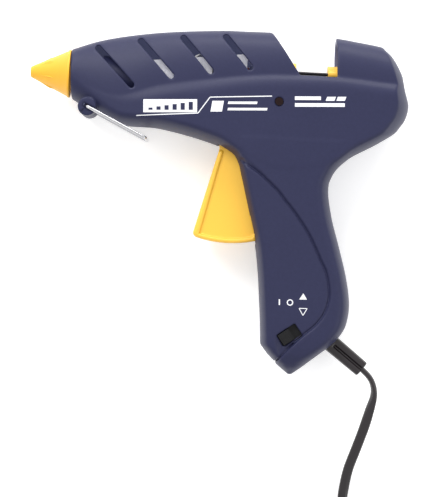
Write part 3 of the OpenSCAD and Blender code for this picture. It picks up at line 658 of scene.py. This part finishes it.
def screw_recesses(x, y, z, outside, half):
    """Cuts the screws' holes and their heads' recesses into a half."""
    for sx, sy, length in SCREWS:
        spot = np.hypot(x - sx, y - sy)
        # A recess is almost as wide as its post, so a sleeve round it holds the post to the wall.
        sleeve = np.maximum(spot - SLEEVE_R, length - HEAD_DEPTH - SLEEVE_FLOOR - z)
        half = np.minimum(half, np.maximum(sleeve, outside + WALL / 2))
        hole = np.minimum(spot - SCREW_HOLE_R, np.maximum(spot - HEAD_HOLE_R, length - HEAD_DEPTH - z))
        half = cut(half, hole, 0.4)
    return half


def paint_light_inside(half, outside, low):
    """Gives the faces well inside a half the paler, glowing inner material: painted light in place of light
    falling into the shell.
    """
    half.data.materials.append(materials["painted_lit_inner_plastic"])
    centres = np.empty(len(half.data.polygons) * 3)
    half.data.polygons.foreach_get("center", centres)
    at = (centres.reshape(-1, 3) / MM - low) / STEP
    # Faces deep under the outside take the painted light.
    inner = sample(outside, at) < -INNER_DEPTH
    half.data.polygons.foreach_set("material_index", inner.astype(np.int32))


def make_half(node, field, outside, low_z):
    """The shell that replaces one of the housing's nodes."""
    low = (*HALF_LOW[:2], low_z)
    half = surface(node + "_shell", np.ascontiguousarray(field), low, STEP)
    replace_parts(paint(half, "body_plastic"), node)
    paint_light_inside(half, outside, low)
    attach(half, "housing")
    return half


def make_housing():
    """Both shells from the upper half's field, mirrored for the right one; returns the left shell."""
    x, y, z = space(HALF_LOW, HALF_HIGH, STEP)
    outside, shell = housing_field(x, y, z)
    shell = cut(shell, openings_field(x, y, z), 0.7)
    # Each half's edge at the parting line is a little rounded.
    shell = common(shell, 0.04 - z, 0.5)
    lens = np.hypot(x - LENS_AT[0], y - LENS_AT[1]) - LENS_HOLE_R
    left = cut(cut(shell, slots_field(x, y), 0.7), switch_field(x, y, outside), 0.4)
    left = cut(left, np.maximum(lens, 14 - z), 0.5)
    right = screw_recesses(x, y, z, outside, shell)
    left_half = make_half("housing_left", left, outside, MID + z.min())
    make_half("housing_right", right[:, :, ::-1], outside[:, :, ::-1], MID - z.max())
    return left_half


# --- Nozzle cap ------------------------------------------------------------------------------
# The cap's section as a loop of (x, r), and the two ends of its cone.
CAP = [
    (-99, 2.3), (-78.8, 7.2), (-70, 7.2), (-70, 9.6), (-72.6, 9.6), (-72.6, 10.4), (-74.6, 10.4),
    (-74.6, 9.6), (-79.1, 9.6), (-79.1, 12.35), (-79.25, 12.6), (-79.6, 12.7), (-80.2, 12.6),
    (-80.55, 12.3), (-80.8, 11.9), (-98.9, 3.4), (-99.6, 3.0), (-100.05, 2.75), (-100.2, 2.55),
    (-100.2, 2.3),
]
CONE_TIP = (-98.9, 3.4)
CONE_BASE = (-80.8, 11.9)
# A rib's corners: x, rise above the cone, and how far to the side. Its faces join them.
RIB = [(-96.4, -0.1, 0), (-90, 0.7, 0.5), (-87, -0.1, 0), (-89.5, -0.1, 0.7), (-89.5, -0.1, -1)]
RIB_FACES = [(0, 3, 1), (0, 1, 4), (1, 3, 2), (1, 2, 4), (0, 4, 3), (2, 3, 4)]
# Where the ribs stand round the cap, in degrees from its upper side.
RIB_TURNS = (40, -22, -82, -142, 158, 98)


def cap_rib(turn):
    """The corners of a low ridge along the cap's cone, pointed at both ends."""
    flare = (CONE_BASE[1] - CONE_TIP[1]) / (CONE_BASE[0] - CONE_TIP[0])
    a = math.radians(turn)
    points = []
    for x, rise, across in RIB:
        r = CONE_TIP[1] + (x - CONE_TIP[0]) * flare + rise
        points.append((x, AXIS_Y + r * math.sin(a) + across * math.cos(a),
                       MID + r * math.cos(a) - across * math.sin(a)))
    return points


def make_cap():
    """The nozzle's cap, and the ribs on its cone."""
    # The cap and its ribs take the darker yellow of painted shade.
    cap = paint(lathe("cap", CAP), "yellow_plastic", "cap_painted_shade_yellow")
    sharpen(cap)
    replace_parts(cap, "nozzle_cap")
    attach(cap, "housing")
    points, faces = [], []
    for turn in RIB_TURNS:
        faces += [tuple(len(points) + k for k in face) for face in RIB_FACES]
        points += cap_rib(turn)
    ribs = paint(add_mesh("cap_ribs", points, faces), "yellow_plastic", "cap_painted_shade_yellow")
    sharpen(ribs, 20)
    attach(ribs, "housing")


# --- Trigger ---------------------------------------------------------------------------------
TRIGGER_LOW = (-13, -25, 5.5)
TRIGGER_HIGH = (26, 69, 32.5)
TRIGGER_STEP = 0.45
# The direction of the fork that drives the carriage, in degrees.
FORK_TURN = 80.1


def arc(at, r, start, end, count):
    """Points of an arc, in degrees."""
    turns = [math.radians(start + (end - start) * i / (count - 1)) for i in range(count)]
    return [(at[0] + r * math.cos(a), at[1] + r * math.sin(a)) for a in turns]


def make_trigger():
    """The blade with its raised rim and hollow back, the hub, and the fork above it."""
    x, y, z = space(TRIGGER_LOW, TRIGGER_HIGH, TRIGGER_STEP)
    z = z - MID
    depth = np.abs(z)
    flat_x, flat_y = x + 0 * y, y + 0 * x
    bottom = arc(TRIGGER_PIVOT, 60.7, -105.9, -75.6, 9)
    front = [(-9.9, -17.8), (-9.7, -19.2)]
    rear = [(23.2, -18.2), (22.9, -16.6), (14, 20)]
    blade = polygon_field(flat_x, flat_y, [(1.6, 38), (1.5, 25.7), *front, *bottom, *rear, (14, 38)])
    rim = polygon_field(flat_x, flat_y, [(1.5, 25.7), *front, *bottom, *rear, (13.5, 25.7)])
    sunk = polygon_field(flat_x, flat_y, [(4.2, 27), *arc(TRIGGER_PIVOT, 58.2, -104.5, -77.6, 9),
                                          (23.5, -16.4), (30, 0), (30, 27)])
    solid = common(blade, depth - 6.8, 1.0)
    solid = join(solid, common(cut(rim, sunk, 0.6), depth - 8.5, 1.8), 0.5)
    hub = np.hypot(flat_x - TRIGGER_PIVOT[0], flat_y - TRIGGER_PIVOT[1])
    solid = join(solid, common(hub - 5, depth - 11, 0.5), 0.6)
    along, across = turned(flat_x, flat_y, TRIGGER_PIVOT, FORK_TURN)
    fork = np.maximum(np.abs(across) - 4.5, np.abs(along - 12.75) - 15.75)
    fork = cut(fork, np.maximum(np.abs(across) - 2.1, 22.1 - along), 0.4)
    solid = np.minimum(solid, common(fork, np.abs(depth - 10.4) - 0.9, 0.4))
    hollow = polygon_field(flat_x, flat_y, [(3.8, 20), (-5.6, -14.5), (8.2, -18), (30, -16), (30, 20)])
    solid = cut(solid, np.maximum(hollow, depth - 4.8), 0.5)
    solid = cut(solid, hub - PIN_HOLE_R + 0 * z, 0.3)
    trigger = paint(surface("trigger_shell", solid, TRIGGER_LOW, TRIGGER_STEP), "yellow_plastic")
    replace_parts(trigger, "trigger")
    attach(trigger, "trigger")


# --- Wire stand ------------------------------------------------------------------------------
WIRE_D = 1.7
WIRE_BEND_R = 2.2
# Half the stand's width, and how far from the parting plane its ends stop in the boss.
STAND_HALF = 16.2
STAND_END = 8.5


def rounded_route(corners, r):
    """A route through corners, each rounded by a short arc."""
    corners = [Vector(c) for c in corners]
    route = [corners[0]]
    for before, corner, after in zip(corners, corners[1:], corners[2:]):
        a, b = (before - corner).normalized() * r, (after - corner).normalized() * r
        for i in range(9):
            t = i / 8
            route.append(corner + a * (1 - t) ** 2 + b * t ** 2)
    return route + [corners[-1]]


def make_stand():
    """The bent wire, from its end in one side of the boss round to the other."""
    px, py = STAND_PIVOT
    fx = px + STAND_LEN * math.cos(math.radians(STAND_TURN))
    fy = py + STAND_LEN * math.sin(math.radians(STAND_TURN))
    half = [(px, py, STAND_END), (px, py, STAND_HALF), (fx, fy, STAND_HALF)]
    corners = [(x, y, MID + z) for x, y, z in half] + [(x, y, MID - z) for x, y, z in reversed(half)]
    route = rounded_route(corners, WIRE_BEND_R)
    data = bpy.data.curves.new("stand_wire", "CURVE")
    data.dimensions = "3D"
    data.bevel_depth = WIRE_D / 2 * MM
    data.bevel_resolution = 5
    data.use_fill_caps = True
    line = data.splines.new("POLY")
    line.points.add(len(route) - 1)
    for point, place in zip(line.points, route):
        point.co = (*[c * MM for c in place], 1)
    wire = bpy.data.objects.new("stand_wire", data)
    bpy.context.collection.objects.link(wire)
    paint(wire, "steel")
    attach(wire, "stand")
    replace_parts(wire, "wire_stand")


# --- Strain relief ---------------------------------------------------------------------------
# The relief's grid lies along its own axis, from where it leaves the housing.
RELIEF_LOW = (-7, -6.6, -5.6)
RELIEF_HIGH = (22.4, 6.6, 5.6)
RELIEF_STEP = 0.35


def make_relief():
    """A flat tapered sleeve with a groove on each face, and a flange inside the housing."""
    along, across, z = space(RELIEF_LOW, RELIEF_HIGH, RELIEF_STEP)
    half = 4.6 - 0.25 * np.clip(along / RELIEF_LEN, 0, 1)
    solid = common(common(np.abs(across) - half, np.abs(z) - 3.7, 3.2), np.abs(along - 7.55) - 13.55, 0.8)
    groove = np.maximum(np.abs(across) - 0.5, np.maximum(3.1 - np.abs(z), 2 - along))
    solid = cut(solid, groove, 1.6)
    flange = np.maximum(np.abs(along + 5) - 1, np.maximum(np.abs(across) - 5.6, np.abs(z) - 4.6))
    solid = np.minimum(solid, flange)
    bore = np.maximum(np.abs(across) - 1.6, np.abs(z) - 2.75)
    solid = np.maximum(solid, -bore - 0 * along)
    relief = surface("relief", solid, RELIEF_LOW, RELIEF_STEP)
    turn = math.radians(RELIEF_TURN)
    c, s = math.cos(turn), math.sin(turn)
    for vertex in relief.data.vertices:
        u, v, w = vertex.co
        vertex.co = (RELIEF_AT[0] * MM + u * c - v * s, RELIEF_AT[1] * MM + u * s + v * c, MID * MM + w)
    relief.data.update()
    sharpen(paint(relief, "lead_rubber"), 50)
    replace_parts(relief, "strain_relief")
    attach(relief, "housing")


# --- Printed marks ---------------------------------------------------------------------------
PRINT_TURN = 2.8
PATCH_STEP = 1.2
# How far the white marks lie above the shell, and the dark ones on top of them.
WHITE_LIFT = 0.07
DARK_LIFT = 0.11


def patch(a, b, c, d):
    """A quad as a fine grid of points and faces, so that it can follow the shell."""
    a, b, c, d = (np.array(p, float) for p in (a, b, c, d))
    m = max(1, math.ceil(max(np.linalg.norm(b - a), np.linalg.norm(c - d)) / PATCH_STEP))
    n = max(1, math.ceil(max(np.linalg.norm(d - a), np.linalg.norm(c - b)) / PATCH_STEP))
    points = []
    for i in range(m + 1):
        for j in range(n + 1):
            u, v = i / m, j / n
            points.append((1 - v) * ((1 - u) * a + u * b) + v * ((1 - u) * d + u * c))
    faces = [(i * (n + 1) + j, (i + 1) * (n + 1) + j, (i + 1) * (n + 1) + j + 1, i * (n + 1) + j + 1)
             for i in range(m) for j in range(n)]
    return points, faces


def stroke(a, b, width):
    """A thin line between two points."""
    a, b = np.array(a, float), np.array(b, float)
    way = b - a
    side = np.array((-way[1], way[0])) / np.linalg.norm(way) * width / 2
    return patch(a - side, b - side, b + side, a + side)


def slab(at, width, height, slant=0.0):
    """A bar along the print's direction, leaning to the right by slant."""
    turn = math.radians(PRINT_TURN)
    u, v = np.array((math.cos(turn), math.sin(turn))), np.array((-math.sin(turn), math.cos(turn)))
    a = np.array(at, float)
    return patch(a, a + u * width, a + u * (width + slant) + v * height, a + u * slant + v * height)


def line_mark(corners, width):
    """A thin line through corners."""
    return [stroke(a, b, width) for a, b in zip(corners, corners[1:])]


def print_on(shell, name, pieces, material, lift):
    """Lays flat pieces on the shell's upper side."""
    tree = BVHTree.FromObject(shell, bpy.context.evaluated_depsgraph_get())
    points, faces = [], []
    for more, sides in pieces:
        faces += [tuple(len(points) + k for k in face) for face in sides]
        for x, y in more:
            hit = tree.ray_cast(Vector((x * MM, y * MM, 0.06)), Vector((0, 0, -1)))[0]
            points.append((x, y, hit.z / MM + lift))
    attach(paint(add_mesh(name, points, faces), material), "housing")


def make_print(shell):
    """Generic marks: lines, bars, a block of rising bars, two triangles, and the signs for on and off."""
    white = [
        slab((-39, 43.1), 28.1, 6.8),
        *line_mark([(-42.6, 41.3), (-10.4, 44.1), (-4.6, 52.7), (27.6, 54.9)], 0.5),
        slab((-4, 45.2), 6, 5.6, 1.0),
        slab((4.8, 46.3), 20.6, 1.3, 0.3),
        slab((4.8, 49.6), 15.2, 1.3, 0.3),
        slab((39.6, 53.5), 13.6, 1.9),
        slab((39.8, 50), 26, 1.9),
        slab((55.6, 53.9), 4.6, 2.1, 0.8),
        slab((61.2, 54.2), 4.4, 2.1, 0.8),
        slab((36.8, -53.6), 0.7, 3.0),
        patch((49.3, -46.9), (49.3, -46.9), (51.4, -50), (47.3, -50.2)),
        *line_mark([(47.5, -54.8), (51.7, -54.7), (49.7, -58.4), (47.5, -54.8)], 0.4),
        *line_mark(arc((42.6, -52), 1.4, 0, 360, 25), 0.6),
    ]
    print_on(shell, "print_white", white, "print", WHITE_LIFT)
    dark = [slab((-36.4 + 4.2 * i, 44.5 + 0.2 * i), 2.2, 1.2 + 0.6 * i) for i in range(6)]
    print_on(shell, "print_dark", dark, "body_plastic", DARK_LIFT)


# --- Lead ------------------------------------------------------------------------------------
LEAD_W = 5.4
LEAD_T = 3.1
# Distance along the lead, x, y, z, and how far it is turned from standing on edge.
LEAD_ROUTE = [
    (-34, 55.6, -64.8, 19, 0), (-10, 75.1, -79.7, 19, 0), (0, 83.1, -85.8, 19, 0),
    (8, 88.5, -91.5, 18.6, 0), (15, 90.3, -98.5, 17.6, 20), (25, 88.4, -108.5, 15.4, 60),
    (35, 86, -118.4, 12.6, 90), (48, 82.7, -129.6, 9.2, 90), (60, 79.4, -140.9, 5.8, 90),
    (72, 77.6, -153.1, 3.2, 80), (80, 77.3, -160, 2.6, 50), (90, 77.5, -170, 3.1, 15),
    (112, 77.15, -192, 3.3, 0),
]
# Where the lead leaves the relief, and where it starts inside, along it from there.
LEAD_START = -28
# The tail, from the coil to the plug.
TAIL_ROUTE = [(41.2, -235.95, 8.8), (31.2, -236, 8.2), (21.2, -236, 7.2), (8, -236, 6.85)]
COIL_AT = (41.2, -200)
# Radii of the coil's columns, and heights of its two layers.
COLUMNS = (35.95, 32.65, 29.35, 26.05)
LAYERS = (3.3, 8.8)
COIL_TURNS = 7.25
POINTS_PER_TURN = 48


def coil_point(turns):
    """A place in the coil: four turns inwards on the table, then outwards on top of them."""
    whole, part = divmod(turns, 1)
    whole = int(whole)
    if whole < 4:
        shift = np.clip((part - 0.85) / 0.15, 0, 1)
        r = np.interp(whole + shift, range(4), COLUMNS)
        z = LAYERS[0] + (LAYERS[1] - LAYERS[0]) * (shift if whole == 3 else 0)
    else:
        shift = np.clip((part - 0.7) / 0.15, 0, 1)
        r = np.interp(whole - 4 + shift, range(4), COLUMNS[::-1])
        z = LAYERS[1]
    a = -turns * 2 * math.pi
    return COIL_AT[0] + r * math.cos(a), COIL_AT[1] + r * math.sin(a), z


def make_lead():
    """The mains lead from inside the relief, through the coil, to the plug."""
    along = range(LEAD_START, LEAD_ROUTE[-1][0], 2)
    route = [[float(column(LEAD_ROUTE, s, c)) for c in range(1, 5)] for s in along]
    path = [p[:3] for p in route]
    path += [coil_point(t) for t in np.arange(0, COIL_TURNS, 1 / POINTS_PER_TURN)]
    path += TAIL_ROUTE
    twists = [p[3] for p in route] + [0] * (len(path) - len(route))
    lead = paint(sweep("lead", path, LEAD_W, LEAD_T, twists), "lead_rubber")
    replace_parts(lead, "cord_tube", "cord_coil", "cord_tail")
    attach(lead, "housing")


# --- Scene -----------------------------------------------------------------------------------
add_camera()
materials = make_materials()
make_lead()
add_studio()
left_half = make_housing()
make_cap()
make_trigger()
make_stand()
make_relief()
make_print(left_half)

# The CAD's own pieces: each node's slot from the record, and two finishes that only the looks need.
SLOTS = {row["node"]: row["material_slot"] for row in frame["record"]["subparts"]}
FINISHES = {"guide_rods": "dark_steel", "front_support": "body_plastic"}
for node, obj in frame["nodes"].items():
    paint(obj, SLOTS[node], FINISHES.get(node))
